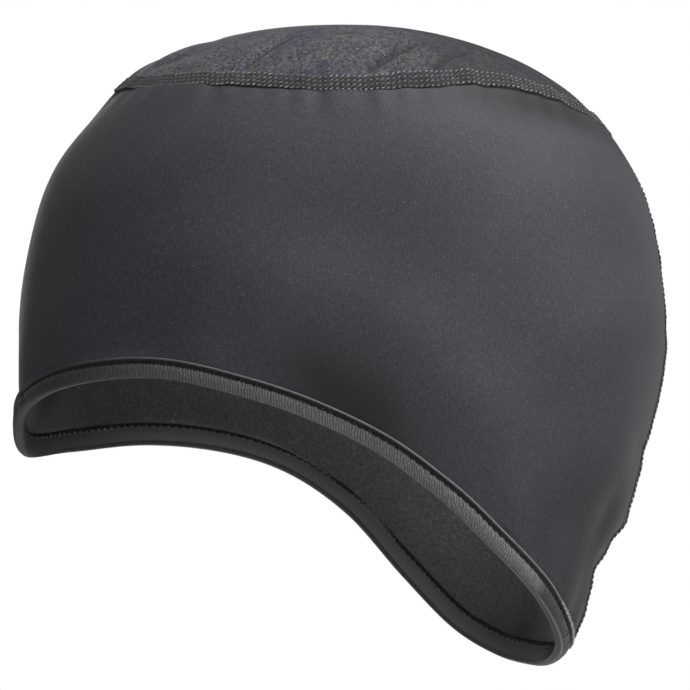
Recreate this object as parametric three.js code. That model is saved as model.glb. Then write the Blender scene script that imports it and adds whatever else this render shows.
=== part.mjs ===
// A close-fitting knit skull cap that covers the ears and the nape, as it stands when it is worn.
// Millimetres, +Z up, the face towards -Y and the wearer's left side at +X.
// The origin is the inside of the crown's top, where the cap rests on the head.
import * as THREE from 'three';

const clothWall = 1.4;
const pieceGap = 0.3;
const napeSquareness = 2.2;
const widestBehindAxis = 6;

const seamWidth = 6;
const seamProud = 0.3;

const bindingHeight = 6.5;
const bindingInsideHeight = 7;
const bindingTape = 0.9;
const hemSetIn = 0.3;
const hemSlope = 0.6;
const hemFoldHeight = bindingTape + pieceGap;

// Above the ears the soft wall draws in towards the rim.
const earTuckDepth = 5.5;
const earTuckHeight = 32;
const earTuckAzimuth = 78;
const earTuckSpread = 32;

const stationStep = 6;
const crownRings = 8;
const panelRows = 11;
const backSeamRows = 14;

// The cap's outside, a row for each level below the crown's top: how far the forehead, the back
// of the head and each side stand from the axis, and how square the front half is in plan.
const outline = [
  { drop: 0, front: 0, back: 0, side: 0, square: 2.2 },
  { drop: 2, front: 30, back: 20, side: 22, square: 2.2 },
  { drop: 6, front: 45.5, back: 38.5, side: 36, square: 2.2 },
  { drop: 12, front: 61.8, back: 55, side: 47, square: 2.2 },
  { drop: 20, front: 71.8, back: 68, side: 57, square: 2.2 },
  { drop: 30, front: 80, back: 79, side: 65, square: 2.25 },
  { drop: 45, front: 89.7, back: 89, side: 71.5, square: 2.35 },
  { drop: 60, front: 95.3, back: 94.5, side: 75, square: 2.45 },
  { drop: 80, front: 99, back: 97.5, side: 76.5, square: 2.55 },
  { drop: 100, front: 100.5, back: 98, side: 76.5, square: 2.65 },
  { drop: 118, front: 100.5, back: 95, side: 75, square: 2.7 },
  { drop: 135, front: 100, back: 91, side: 73, square: 2.7 },
  { drop: 150, front: 99, back: 86.5, side: 70.5, square: 2.7 },
  { drop: 165, front: 98, back: 78.5, side: 67.5, square: 2.7 },
  { drop: 180, front: 97, back: 72.5, side: 64, square: 2.7 },
  { drop: 200, front: 96, back: 66, side: 59, square: 2.7 },
];

// The crown seam and the rim, a row for each direction from the forehead (0) to the nape (180):
// their drop below the crown's top. The soft rim hangs a little lower or higher on the right side.
const edges = [
  { azimuth: 0, seam: 18.2, rimLeft: 124.5, rimRight: 124.5 },
  { azimuth: 15, seam: 20.5, rimLeft: 121.5, rimRight: 127.5 },
  { azimuth: 30, seam: 24.5, rimLeft: 119.5, rimRight: 124 },
  { azimuth: 45, seam: 26.7, rimLeft: 121, rimRight: 119.5 },
  { azimuth: 60, seam: 29, rimLeft: 126.5, rimRight: 121 },
  { azimuth: 75, seam: 31.1, rimLeft: 134, rimRight: 128 },
  { azimuth: 90, seam: 30.6, rimLeft: 143.5, rimRight: 141 },
  { azimuth: 105, seam: 28.7, rimLeft: 156, rimRight: 161 },
  { azimuth: 120, seam: 27, rimLeft: 169.5, rimRight: 178 },
  { azimuth: 135, seam: 27.6, rimLeft: 181.5, rimRight: 188 },
  { azimuth: 150, seam: 30.4, rimLeft: 190, rimRight: 193 },
  { azimuth: 165, seam: 32.2, rimLeft: 193, rimRight: 193.5 },
  { azimuth: 180, seam: 33, rimLeft: 194.5, rimRight: 194.5 },
];

// Soft puckers of the crown, seen from above: each runs from beside the seam towards the top.
// They are the same on both sides, and none lies below the level where they end.
const puckersEndDrop = 45;
const crownPuckers = [
  { fromSide: 30, fromBack: -60, toSide: 38, toBack: -46, width: 4, depth: 0.7 },
  { fromSide: 54, fromBack: -34, toSide: 46, toBack: -19, width: 4, depth: 0.9 },
  { fromSide: 59, fromBack: -24, toSide: 54, toBack: -14, width: 3.5, depth: 0.8 },
  { fromSide: 61, fromBack: 5, toSide: 50, toBack: 17, width: 4, depth: 1.4 },
  { fromSide: 58, fromBack: 25, toSide: 45, toBack: 35, width: 4, depth: 1.1 },
];

// Shallow hollows of the panel where the back seam draws the cloth in above the nape.
const napeHollows = [
  { azimuth: 163, drop: 132, halfTurn: 7, halfHeight: 9, depth: 1 },
  { azimuth: 156, drop: 155, halfTurn: 6, halfHeight: 10, depth: 1.5 },
  { azimuth: 168, drop: 168, halfTurn: 7, halfHeight: 6, depth: 1 },
];

const radians = (degrees) => degrees * Math.PI / 180;
const degrees = (angle) => angle * 180 / Math.PI;

// A smooth curve through the rows: the value of one column where the key has the given value.
function smooth(rows, key, column, at) {
  const last = rows.length - 1;
  let index = 0;
  while (index < last - 1 && at > rows[index + 1][key]) {
    index += 1;
  }
  const slopeAt = (row) => {
    const before = rows[Math.max(row - 1, 0)];
    const after = rows[Math.min(row + 1, last)];
    return (after[column] - before[column]) / (after[key] - before[key]);
  };
  const start = rows[index];
  const end = rows[index + 1];
  const span = end[key] - start[key];
  const t = (at - start[key]) / span;
  const rise = end[column] - start[column];
  const startSlope = slopeAt(index) * span;
  const endSlope = slopeAt(index + 1) * span;
  const bend = t * (1 - t) * ((1 - t) * (startSlope - rise) - t * (endSlope - rise));
  return start[column] + rise * t + bend;
}

// Near the top the cap widens with the root of the drop, so the outline is smooth over that root.
const outlineByRoot = outline.map((row) => ({ ...row, root: Math.sqrt(row.drop) }));
const atDrop = (column, drop) => smooth(outlineByRoot, 'root', column, Math.sqrt(drop));
const widestSide = Math.max(...outline.map((row) => row.side));

// The edges all the way round, right side and left, and again on both ends so that the curve
// through them closes at the nape.
const edgesOfSide = (sign, rimColumn) => edges.map((row) => {
  return { azimuth: sign * row.azimuth, seam: row.seam, rim: row[rimColumn] };
});
const oneTurn = [...edgesOfSide(-1, 'rimRight').slice(1, -1).reverse(), ...edgesOfSide(1, 'rimLeft')];
const roundEdges = [-360, 0, 360].flatMap((turn) => {
  return oneTurn.map((row) => ({ ...row, azimuth: row.azimuth + turn }));
});
const seamDrop = (azimuth) => smooth(roundEdges, 'azimuth', 'seam', azimuth);
const rimDrop = (azimuth) => smooth(roundEdges, 'azimuth', 'rim', azimuth);

// A point of the cap's smooth outside, without folds.
function smoothPoint(azimuth, drop) {
  const side = atDrop('side', drop);
  const middle = widestBehindAxis * side / widestSide;
  const across = Math.sin(radians(azimuth));
  const ahead = Math.cos(radians(azimuth));
  const lengthways = ahead > 0 ? atDrop('front', drop) + middle : atDrop('back', drop) - middle;
  const squareness = ahead > 0 ? atDrop('square', drop) : napeSquareness;
  const share = (Math.abs(ahead) / Math.max(lengthways, 1e-6)) ** squareness
    + (Math.abs(across) / Math.max(side, 1e-6)) ** squareness;
  const radius = drop > 0 ? share ** (-1 / squareness) : 0;
  return new THREE.Vector3(radius * across, middle - radius * ahead, clothWall - drop);
}

// The outward direction of the smooth outside.
function outward(azimuth, drop) {
  if (drop < 0.05) {
    return new THREE.Vector3(0, 0, 1);
  }
  const turn = 0.5;
  const step = Math.min(0.5, drop / 2);
  const around = smoothPoint(azimuth + turn, drop).sub(smoothPoint(azimuth - turn, drop));
  const down = smoothPoint(azimuth, drop + step).sub(smoothPoint(azimuth, drop - step));
  return down.cross(around).normalize();
}

// The drop that lies a distance further down the cap's outside than the given one.
function dropAfter(azimuth, drop, distance) {
  const step = 0.5;
  const slope = smoothPoint(azimuth, drop + step).distanceTo(smoothPoint(azimuth, drop - step));
  return drop + distance * 2 * step / slope;
}

// The drop of a height above the rim, measured square to the rim's own slope.
function dropAboveRim(azimuth, height) {
  const turn = 1;
  const ahead = smoothPoint(azimuth + turn, rimDrop(azimuth));
  const along = ahead.distanceTo(smoothPoint(azimuth - turn, rimDrop(azimuth)));
  const fall = rimDrop(azimuth + turn) - rimDrop(azimuth - turn);
  const stretch = Math.hypot(1, fall / along);
  return dropAfter(azimuth, rimDrop(azimuth), -height * stretch);
}

const bell = (distance) => Math.exp(-distance * distance);

// How far the cloth lies inside its smooth outside.
function foldDepth(azimuth, drop) {
  const place = smoothPoint(azimuth, drop);
  const side = Math.abs(place.x);
  let depth = 0;
  for (const pucker of crownPuckers) {
    const run = new THREE.Vector2(pucker.toSide - pucker.fromSide, pucker.toBack - pucker.fromBack);
    const offset = new THREE.Vector2(side - pucker.fromSide, place.y - pucker.fromBack);
    const along = THREE.MathUtils.clamp(offset.dot(run) / run.lengthSq(), 0, 1);
    const away = offset.sub(run.multiplyScalar(along)).length();
    depth += drop < puckersEndDrop ? pucker.depth * bell(away / pucker.width) : 0;
  }
  for (const hollow of napeHollows) {
    const turn = (Math.abs(azimuth) - hollow.azimuth) / hollow.halfTurn;
    const height = (drop - hollow.drop) / hollow.halfHeight;
    depth += hollow.depth * bell(Math.hypot(turn, height));
  }
  const aboveRim = THREE.MathUtils.clamp((rimDrop(azimuth) - drop) / earTuckHeight, 0, 1);
  const tuckTurn = (Math.abs(azimuth) - earTuckAzimuth) / earTuckSpread;
  depth += earTuckDepth * bell(tuckTurn) * (1 - aboveRim) ** 2;
  return depth;
}

// A point of the cloth, a depth in from its outside.
function clothPoint(azimuth, drop, depth) {
  const direction = outward(azimuth, drop);
  return smoothPoint(azimuth, drop).addScaledVector(direction, -depth - foldDepth(azimuth, drop));
}

// A closed solid through loops of points with equal counts. A round one joins its last loop to its
// first. An open one ends in a point, or in a strip between the two halves of its end loop.
function loft(loops, { round = false, firstPoint = null, lastPoint = null } = {}) {
  const size = loops[0].length;
  const points = loops.flat();
  const faces = [];
  const at = (loop, place) => (loop % loops.length) * size + (place % size);
  const addQuad = (a, b, c, d) => {
    faces.push(a, b, c, a, c, d);
  };
  const joints = round ? loops.length : loops.length - 1;
  for (let loop = 0; loop < joints; loop += 1) {
    for (let place = 0; place < size; place += 1) {
      addQuad(at(loop, place), at(loop, place + 1), at(loop + 1, place + 1), at(loop + 1, place));
    }
  }
  const close = (loop, point, flip) => {
    if (point) {
      points.push(point);
      for (let place = 0; place < size; place += 1) {
        const pair = [at(loop, place), at(loop, place + 1)];
        faces.push(points.length - 1, ...(flip ? pair.reverse() : pair));
      }
      return;
    }
    for (let place = 0; place < size / 2 - 1; place += 1) {
      const corners = [place, place + 1, size - 2 - place, size - 1 - place];
      addQuad(...(flip ? corners.reverse() : corners).map((corner) => at(loop, corner)));
    }
  };
  if (!round) {
    close(0, firstPoint, true);
    close(loops.length - 1, lastPoint, false);
  }
  let volume = 0;
  for (let face = 0; face < faces.length; face += 3) {
    const [a, b, c] = [0, 1, 2].map((corner) => points[faces[face + corner]]);
    volume += a.dot(b.clone().cross(c));
  }
  const geometry = new THREE.BufferGeometry().setFromPoints(points);
  geometry.setIndex(volume > 0 ? faces : faces.reverse());
  geometry.computeVertexNormals();
  return geometry;
}

// Directions from the right of the nape round the forehead to the left of the nape.
const stations = [];
for (let azimuth = -180; azimuth < 180; azimuth += stationStep) {
  stations.push(azimuth);
}

// The oval top panel, cut to the crown seam.
function crownGeometry() {
  const edgeDrop = (azimuth) => {
    return dropAfter(azimuth, seamDrop(azimuth), -seamWidth / 2 - pieceGap);
  };
  const ring = (index, depth) => stations.map((azimuth) => {
    return clothPoint(azimuth, edgeDrop(azimuth) * (index / crownRings) ** 2, depth);
  });
  const rings = [];
  for (let index = 1; index <= crownRings; index += 1) {
    rings.push(ring(index, 0));
  }
  for (let index = crownRings; index >= 1; index -= 1) {
    rings.push(ring(index, clothWall));
  }
  return loft(rings, { firstPoint: clothPoint(0, 0, 0), lastPoint: clothPoint(0, 0, clothWall) });
}

// The flat stitched seam that joins the crown and the side panel edge to edge.
function crownSeamGeometry() {
  const section = [
    { across: -seamWidth / 2, depth: 0 },
    { across: -seamWidth / 4, depth: -seamProud },
    { across: seamWidth / 4, depth: -seamProud },
    { across: seamWidth / 2, depth: 0 },
    { across: seamWidth / 2, depth: clothWall },
    { across: 0, depth: clothWall + seamProud },
    { across: -seamWidth / 2, depth: clothWall },
  ];
  const loops = stations.map((azimuth) => section.map(({ across, depth }) => {
    return clothPoint(azimuth, dropAfter(azimuth, seamDrop(azimuth), across), depth);
  }));
  return loft(loops, { round: true });
}

// The direction, beside the nape's centre line, that lies a distance to the left of that line.
const besideNape = (drop, distance) => 180 - degrees(Math.asin(distance / atDrop('back', drop)));

// The one-piece panel round the forehead, the ears and the nape, open along the back seam.
function sidePanelGeometry() {
  const slit = seamWidth / 2 + pieceGap;
  const wallAt = (station) => {
    const besideSlit = (drop) => Math.sign(station) * besideNape(drop, slit);
    const facing = (drop) => (Math.abs(station) === 180 ? besideSlit(drop) : station);
    const top = dropAfter(station, seamDrop(station), slit);
    const hemTop = dropAboveRim(station, bindingInsideHeight + pieceGap + hemSlope);
    const rows = [];
    for (let index = 0; index <= panelRows; index += 1) {
      const drop = top + (hemTop - top) * index / panelRows;
      rows.push({ drop, outside: 0, inside: clothWall });
    }
    for (const height of [bindingInsideHeight + pieceGap, hemFoldHeight]) {
      const drop = dropAboveRim(station, height);
      rows.push({ drop, outside: hemSetIn, inside: clothWall - hemSetIn });
    }
    const outside = rows.map((row) => clothPoint(facing(row.drop), row.drop, row.outside));
    const inside = rows.map((row) => clothPoint(facing(row.drop), row.drop, row.inside));
    return [...outside, ...inside.reverse()];
  };
  return loft([...stations, 180].map(wallAt));
}

// The flat stitched seam down the centre of the back, from the crown seam to the binding.
function backSeamGeometry() {
  const top = dropAfter(180, seamDrop(180), seamWidth / 2 + pieceGap);
  const bottom = dropAboveRim(180, bindingInsideHeight + pieceGap);
  const section = [
    { across: -seamWidth / 2, depth: 0 },
    { across: 0, depth: -seamProud },
    { across: seamWidth / 2, depth: 0 },
    { across: seamWidth / 2, depth: clothWall },
    { across: 0, depth: clothWall + seamProud },
    { across: -seamWidth / 2, depth: clothWall },
  ];
  const loops = [];
  for (let index = 0; index <= backSeamRows; index += 1) {
    const drop = top + (bottom - top) * index / backSeamRows;
    loops.push(section.map(({ across, depth }) => {
      return clothPoint(besideNape(drop, across), drop, depth);
    }));
  }
  return loft(loops);
}

// The elastic tape folded over the panel's edge, all the way round the opening.
function rimBindingGeometry() {
  const outsideFace = -bindingTape;
  const insideFace = clothWall + bindingTape;
  const corner = bindingTape / 2;
  const section = [
    { height: bindingHeight, depth: 0 },
    { height: bindingHeight, depth: outsideFace + corner },
    { height: bindingHeight - corner, depth: outsideFace },
    { height: bindingTape, depth: outsideFace },
    { height: corner / 2, depth: outsideFace + corner },
    { height: 0, depth: clothWall / 2 },
    { height: corner / 2, depth: insideFace - corner },
    { height: bindingTape, depth: insideFace },
    { height: bindingInsideHeight - corner, depth: insideFace },
    { height: bindingInsideHeight, depth: insideFace - corner },
    { height: bindingInsideHeight, depth: clothWall },
    { height: bindingTape, depth: clothWall },
    { height: bindingTape, depth: 0 },
  ];
  const loops = stations.map((azimuth) => section.map(({ height, depth }) => {
    return clothPoint(azimuth, dropAboveRim(azimuth, height), depth);
  }));
  return loft(loops, { round: true });
}

const finishes = {
  crown: { color: 0x55565c, roughness: 0.85, metalness: 0 },
  sidePanel: { color: 0x3d3f44, roughness: 0.75, metalness: 0 },
  seam: { color: 0x4a4b50, roughness: 0.9, metalness: 0 },
  binding: { color: 0x505156, roughness: 0.7, metalness: 0 },
};

function piece(name, geometry, finish) {
  const mesh = new THREE.Mesh(geometry, new THREE.MeshStandardMaterial(finish));
  mesh.name = name;
  return mesh;
}

const cap = new THREE.Group();
cap.add(piece('crown', crownGeometry(), finishes.crown));
cap.add(piece('crown_seam', crownSeamGeometry(), finishes.seam));
cap.add(piece('side_panel', sidePanelGeometry(), finishes.sidePanel));
cap.add(piece('back_seam', backSeamGeometry(), finishes.seam));
cap.add(piece('rim_binding', rimBindingGeometry(), finishes.binding));

export default cap;
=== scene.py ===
import bmesh
import bpy
import numpy as np
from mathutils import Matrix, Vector


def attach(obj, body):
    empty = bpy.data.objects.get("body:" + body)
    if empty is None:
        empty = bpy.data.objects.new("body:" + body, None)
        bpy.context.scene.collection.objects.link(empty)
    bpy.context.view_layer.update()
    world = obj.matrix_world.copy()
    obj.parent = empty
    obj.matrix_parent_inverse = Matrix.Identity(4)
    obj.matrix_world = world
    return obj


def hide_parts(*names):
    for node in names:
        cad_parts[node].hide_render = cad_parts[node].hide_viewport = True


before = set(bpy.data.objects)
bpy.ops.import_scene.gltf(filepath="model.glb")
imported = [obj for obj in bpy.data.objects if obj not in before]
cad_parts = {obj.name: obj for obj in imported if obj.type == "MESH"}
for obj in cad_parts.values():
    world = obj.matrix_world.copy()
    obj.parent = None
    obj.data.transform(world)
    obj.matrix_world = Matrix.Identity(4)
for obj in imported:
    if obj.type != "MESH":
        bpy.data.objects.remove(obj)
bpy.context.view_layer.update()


# Camera
# It looks square at the wearer's left side from a little below the rim, with a long lens.

def place_facing(obj, azimuth, elevation, distance, target):
    """Puts an object at a distance from the target, looking at it."""
    turn, rise = np.radians([azimuth, elevation])
    away = Vector((np.sin(turn) * np.cos(rise), -np.cos(turn) * np.cos(rise), np.sin(rise)))
    obj.location = Vector(target) + away * distance
    obj.rotation_euler = (np.pi / 2 - rise, 0, turn)
    bpy.context.collection.objects.link(obj)


camera = bpy.data.objects.new("camera", bpy.data.cameras.new("camera"))
camera.data.lens = 220.4
camera.data.sensor_width = 36
camera.data.sensor_fit = "HORIZONTAL"
camera.data.clip_end = 20
place_facing(camera, azimuth=86, elevation=-10.5, distance=1.3, target=(0, 0, -0.0963))
bpy.context.scene.camera = camera


# Side panel
# One piece of smooth stretch knit goes round the forehead, the ears and the nape. Its inside is
# brushed to a fleece. It is sewn shut down the back, and the head gives it its rounded form.

cloth_wall = 0.0014
nape_squareness = 2.2
widest_behind_axis = 0.006
mean_radius = 0.085
seam_width = 0.006
tape_height = 0.0065
under_seam = 0.0008


def table(columns, rows):
    """Rows of numbers, read by column name."""
    return dict(zip(columns.split(), np.array(rows, dtype=float).T))


# How far the forehead, the back of the head and each side stand from the axis at each level below
# the crown's top, and how square the front half is in plan.
outline = table("drop front back side square", [
    (0, 0, 0, 0, 2.2),
    (0.002, 0.030, 0.020, 0.022, 2.2),
    (0.006, 0.0455, 0.0385, 0.036, 2.2),
    (0.012, 0.0618, 0.055, 0.047, 2.2),
    (0.020, 0.0718, 0.068, 0.057, 2.2),
    (0.030, 0.080, 0.079, 0.065, 2.25),
    (0.045, 0.0897, 0.089, 0.0715, 2.35),
    (0.060, 0.0953, 0.0945, 0.075, 2.45),
    (0.080, 0.099, 0.0975, 0.0765, 2.55),
    (0.100, 0.1005, 0.098, 0.0765, 2.65),
    (0.118, 0.1005, 0.095, 0.075, 2.7),
    (0.135, 0.100, 0.091, 0.073, 2.7),
    (0.150, 0.099, 0.0865, 0.0705, 2.7),
    (0.165, 0.098, 0.0785, 0.0675, 2.7),
    (0.180, 0.097, 0.0725, 0.064, 2.7),
    (0.200, 0.096, 0.066, 0.059, 2.7),
])
outline["root"] = np.sqrt(outline["drop"])
widest_side = outline["side"].max()

# The drop of the crown seam and of the rim, from the forehead (0 degrees) to the nape (180).
edges = table("azimuth seam rim_left rim_right", [
    (0, 0.0182, 0.1268, 0.1268),
    (15, 0.0205, 0.1232, 0.1293),
    (30, 0.0245, 0.1203, 0.124),
    (45, 0.0267, 0.1206, 0.1195),
    (60, 0.029, 0.1265, 0.121),
    (75, 0.0311, 0.134, 0.128),
    (90, 0.0306, 0.1435, 0.1417),
    (105, 0.0287, 0.156, 0.1616),
    (120, 0.027, 0.1695, 0.1784),
    (135, 0.0276, 0.1804, 0.188),
    (150, 0.0304, 0.1896, 0.1927),
    (165, 0.0322, 0.1950, 0.1951),
    (180, 0.033, 0.1963, 0.1963),
])


def round_edges(edges):
    """The edges for three turns, each with the right side before the left."""
    one_turn = {
        "azimuth": np.concatenate([-edges["azimuth"][:0:-1], edges["azimuth"][:-1]]),
        "seam": np.concatenate([edges["seam"][:0:-1], edges["seam"][:-1]]),
        "rim": np.concatenate([edges["rim_right"][:0:-1], edges["rim_left"][:-1]]),
    }
    turns = {name: np.tile(column, 3) for name, column in one_turn.items()}
    turns["azimuth"] += np.repeat([-360, 0, 360], len(one_turn["azimuth"]))
    return turns


edges_all_round = round_edges(edges)


def smooth(rows, key, column, at):
    """The smooth curve through a column, read where the key has the given values."""
    keys, values = rows[key], rows[column]
    last = len(keys) - 1
    row = np.arange(last + 1)
    before, after = np.maximum(row - 1, 0), np.minimum(row + 1, last)
    slopes = (values[after] - values[before]) / (keys[after] - keys[before])
    start = np.clip(np.searchsorted(keys, at) - 1, 0, last - 1)
    span = keys[start + 1] - keys[start]
    t = (at - keys[start]) / span
    rise = values[start + 1] - values[start]
    start_bend = (1 - t) * (slopes[start] * span - rise)
    end_bend = t * (slopes[start + 1] * span - rise)
    return values[start] + rise * t + t * (1 - t) * (start_bend - end_bend)


def seam_drop(azimuth):
    return smooth(edges_all_round, "azimuth", "seam", azimuth)


def rim_drop(azimuth):
    return smooth(edges_all_round, "azimuth", "rim", azimuth)


def above_rim(azimuth, drop):
    return rim_drop(azimuth) - drop


def smooth_point(azimuth, drop):
    """Points of the cap's smooth outside, without folds."""
    azimuth, drop = np.broadcast_arrays(np.asarray(azimuth, float), np.asarray(drop, float))
    root = np.sqrt(drop)
    side = smooth(outline, "root", "side", root)
    middle = widest_behind_axis * side / widest_side
    across, ahead = np.sin(np.radians(azimuth)), np.cos(np.radians(azimuth))
    front = smooth(outline, "root", "front", root) + middle
    back = smooth(outline, "root", "back", root) - middle
    lengthways = np.maximum(np.where(ahead > 0, front, back), 1e-9)
    front_squareness = smooth(outline, "root", "square", root)
    squareness = np.where(ahead > 0, front_squareness, nape_squareness)
    share = (abs(ahead) / lengthways) ** squareness
    share = share + (abs(across) / np.maximum(side, 1e-9)) ** squareness
    radius = np.where(drop > 0, share ** (-1 / squareness), 0)
    return np.stack([radius * across, middle - radius * ahead, cloth_wall - drop], axis=-1)


def unit(vectors):
    return vectors / np.maximum(np.linalg.norm(vectors, axis=-1, keepdims=True), 1e-12)


def outward(azimuth, drop):
    """Directions square to the smooth outside."""
    azimuth, drop = np.broadcast_arrays(np.asarray(azimuth, float), np.asarray(drop, float))
    turn = 0.5
    step = np.minimum(0.0005, drop / 2)
    around = smooth_point(azimuth + turn, drop) - smooth_point(azimuth - turn, drop)
    down = smooth_point(azimuth, drop + step) - smooth_point(azimuth, drop - step)
    at_top = (drop < 0.00005)[..., None]
    return np.where(at_top, [0.0, 0.0, 1.0], unit(np.cross(down, around)))


def drop_after(azimuth, drop, distance):
    """The drop that lies a distance further down the outside than the given one."""
    step = 0.0005
    slope = smooth_point(azimuth, drop + step) - smooth_point(azimuth, drop - step)
    return drop + distance * 2 * step / np.linalg.norm(slope, axis=-1)


def drop_above_rim(azimuth, height):
    """The drop of a height above the rim, square to the rim's own slope."""
    turn = 1
    rim = rim_drop(azimuth)
    along = smooth_point(azimuth + turn, rim) - smooth_point(azimuth - turn, rim)
    fall = rim_drop(azimuth + turn) - rim_drop(azimuth - turn)
    stretch = np.hypot(1, fall / np.linalg.norm(along, axis=-1))
    return drop_after(azimuth, rim, -height * stretch)


def near(value, middle, reach):
    """1 at the middle, about a third at the reach on either side, and nothing far away."""
    return np.exp(-((value - middle) / reach) ** 2)


def ramp(value, start, end):
    """0 before the start, 1 past the end, and smooth between."""
    share = np.clip((value - start) / (end - start), 0, 1)
    return share * share * (3 - 2 * share)


def patches(rows, azimuth, level):
    """The sum of soft round patches, the same on both sides of the cap. Each row holds a patch's
    azimuth and half turn, its level and half height, and its most."""
    total = 0.0
    for at, half_turn, middle, half_height, most in rows:
        total = total + most * near(abs(azimuth), at, half_turn) * near(level, middle, half_height)
    return total


# Soft puckers of the crown, seen from above: each runs from beside the seam towards the top.
crown_puckers = [
    # (side, back) at its two ends, width, depth
    ((0.030, -0.060), (0.038, -0.046), 0.0040, 0.0004),
    ((0.054, -0.034), (0.046, -0.019), 0.0040, 0.0005),
    ((0.059, -0.024), (0.054, -0.014), 0.0035, 0.0004),
    ((0.061, 0.005), (0.050, 0.017), 0.0040, 0.0008),
    ((0.058, 0.025), (0.045, 0.035), 0.0040, 0.0006),
]
puckers_end_drop = 0.045

# Shallow hollows of the panel, by their drop.
panel_hollows = [
    (163, 7, 0.132, 0.009, 0.0010),
    (156, 6, 0.155, 0.010, 0.0015),
    (168, 7, 0.168, 0.006, 0.0010),
]

# The rim is tucked in at the ears and rolls in under the back of the head.
rim_tucks = [
    # azimuth, half turn, height, depth at the rim
    (78, 32, 0.032, 0.0055),
    (180, 22, 0.012, 0.0042),
]


def beside_line(place, start, end):
    """How far places lie from the stretch between two points, mirrored to the left side."""
    start, end = np.array(start), np.array(end)
    offset = np.stack([abs(place[..., 0]), place[..., 1]], axis=-1) - start
    run = end - start
    along = np.clip(offset @ run / (run @ run), 0, 1)
    return np.linalg.norm(offset - along[..., None] * run, axis=-1), along


def fold_depth(azimuth, drop):
    """How far the cloth lies inside its smooth outside."""
    depth = patches(panel_hollows, azimuth, drop)
    place = smooth_point(azimuth, drop)
    for start, end, width, most in crown_puckers:
        away, along = beside_line(place, start, end)
        fading = most * near(away, 0, width) * (1 - 0.9 * along ** 3)
        depth = depth + np.where(drop < puckers_end_drop, fading, 0)
    from_forehead = abs((azimuth + 180) % 360 - 180)
    for at, half_turn, height, most in rim_tucks:
        below_tuck = 1 - np.clip(above_rim(azimuth, drop) / height, 0, 1)
        depth = depth + most * near(from_forehead, at, half_turn) * below_tuck ** 2
    return depth


def cloth_point(azimuth, drop, depth, relief=0.0):
    """Points of the cloth, a depth in from its outside. Relief stands out from the folds."""
    inset = depth + fold_depth(azimuth, drop) - relief
    return smooth_point(azimuth, drop) - outward(azimuth, drop) * inset[..., None]


def loft(name, loops, materials, round_loops=False, poles=None, slot_of=None, uv_of=None):
    """A closed mesh through loops of points. The stack of loops closes on itself, or ends in two
    poles, or in strips across its end loops. Functions of loop and place choose slots and UVs."""
    count, size = loops.shape[:2]
    joints = count if round_loops else count - 1
    loop = np.repeat(np.arange(joints), size)
    place = np.tile(np.arange(size), joints)
    corners = [(loop, place), (loop, place + 1), (loop + 1, place + 1), (loop + 1, place)]
    index = np.stack([(i % count) * size + j % size for i, j in corners], axis=-1)
    faces = index.tolist()
    corner_loops = np.stack([i for i, _ in corners], axis=-1).tolist()
    corner_places = np.stack([j for _, j in corners], axis=-1).tolist()
    points = loops.reshape(-1, 3).tolist()
    if poles is not None:
        for pole, end, order in ((poles[0], 0, (1, 0)), (poles[1], count - 1, (0, 1))):
            points.append(list(pole))
            for j in range(size):
                pair = [j + step for step in order]
                faces.append([len(points) - 1] + [end * size + k % size for k in pair])
                corner_loops.append([end] * 3)
                corner_places.append([pair[0]] + pair)
    elif not round_loops:
        for end, order in ((0, -1), (count - 1, 1)):
            for j in range(size // 2 - 1):
                strip = [j, j + 1, size - 2 - j, size - 1 - j][::order]
                faces.append([end * size + k for k in strip])
                corner_loops.append([end] * 4)
                corner_places.append(strip)
    mesh = bpy.data.meshes.new(name)
    mesh.from_pydata(points, [], faces)
    flat_loops = np.concatenate([np.array(row) for row in corner_loops])
    flat_places = np.concatenate([np.array(row) for row in corner_places])
    if uv_of is not None:
        layer = mesh.uv_layers.new(name="cloth")
        values = np.stack(uv_of(flat_loops, flat_places), axis=-1)
        layer.data.foreach_set("uv", values.astype(np.float32).ravel())
    for material in materials:
        mesh.materials.append(material)
    if slot_of is not None:
        first = np.zeros(len(faces), dtype=np.int64)
        mesh.polygons.foreach_get("loop_start", first)
        slots = slot_of(flat_loops[first], flat_places[first])
        mesh.polygons.foreach_set("material_index", slots.astype(np.int32))
    mesh.shade_smooth()
    face_out(mesh)
    return add_object(name, mesh)


def face_out(mesh):
    """Turns a closed mesh's faces outwards."""
    mesh.calc_loop_triangles()
    corners = np.zeros(len(mesh.loop_triangles) * 3, dtype=np.int64)
    mesh.loop_triangles.foreach_get("vertices", corners)
    places = np.zeros(len(mesh.vertices) * 3)
    mesh.vertices.foreach_get("co", places)
    a, b, c = places.reshape(-1, 3)[corners.reshape(-1, 3)].transpose(1, 0, 2)
    if np.einsum("ij,ij->", a, np.cross(b, c)) < 0:
        mesh.flip_normals()


def add_object(name, mesh):
    obj = bpy.data.objects.new(name, mesh)
    bpy.context.collection.objects.link(obj)
    return obj


def ripples(position, wavelengths, seed):
    """A smooth random wave between about -1 and 1, the same on each run."""
    draws = np.random.default_rng(seed)
    total = np.zeros(np.shape(position))
    for wavelength in wavelengths:
        total = total + np.sin(2 * np.pi * (position / wavelength + draws.random()))
    return total / np.sqrt(len(wavelengths))


def plug(value, socket):
    """Gives a socket another node's output, or a plain value."""
    if isinstance(value, bpy.types.NodeSocket):
        socket.id_data.links.new(value, socket)
    else:
        socket.default_value = value


def new_node(tree, kind, inputs=(), output=0, **settings):
    """An output of a new node. The inputs, by number or name, are other outputs or plain values."""
    node = tree.nodes.new(kind)
    for name, value in settings.items():
        setattr(node, name, value)
    for place, value in dict(inputs).items():
        plug(value, node.inputs[place])
    return node.outputs[output]


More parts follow.
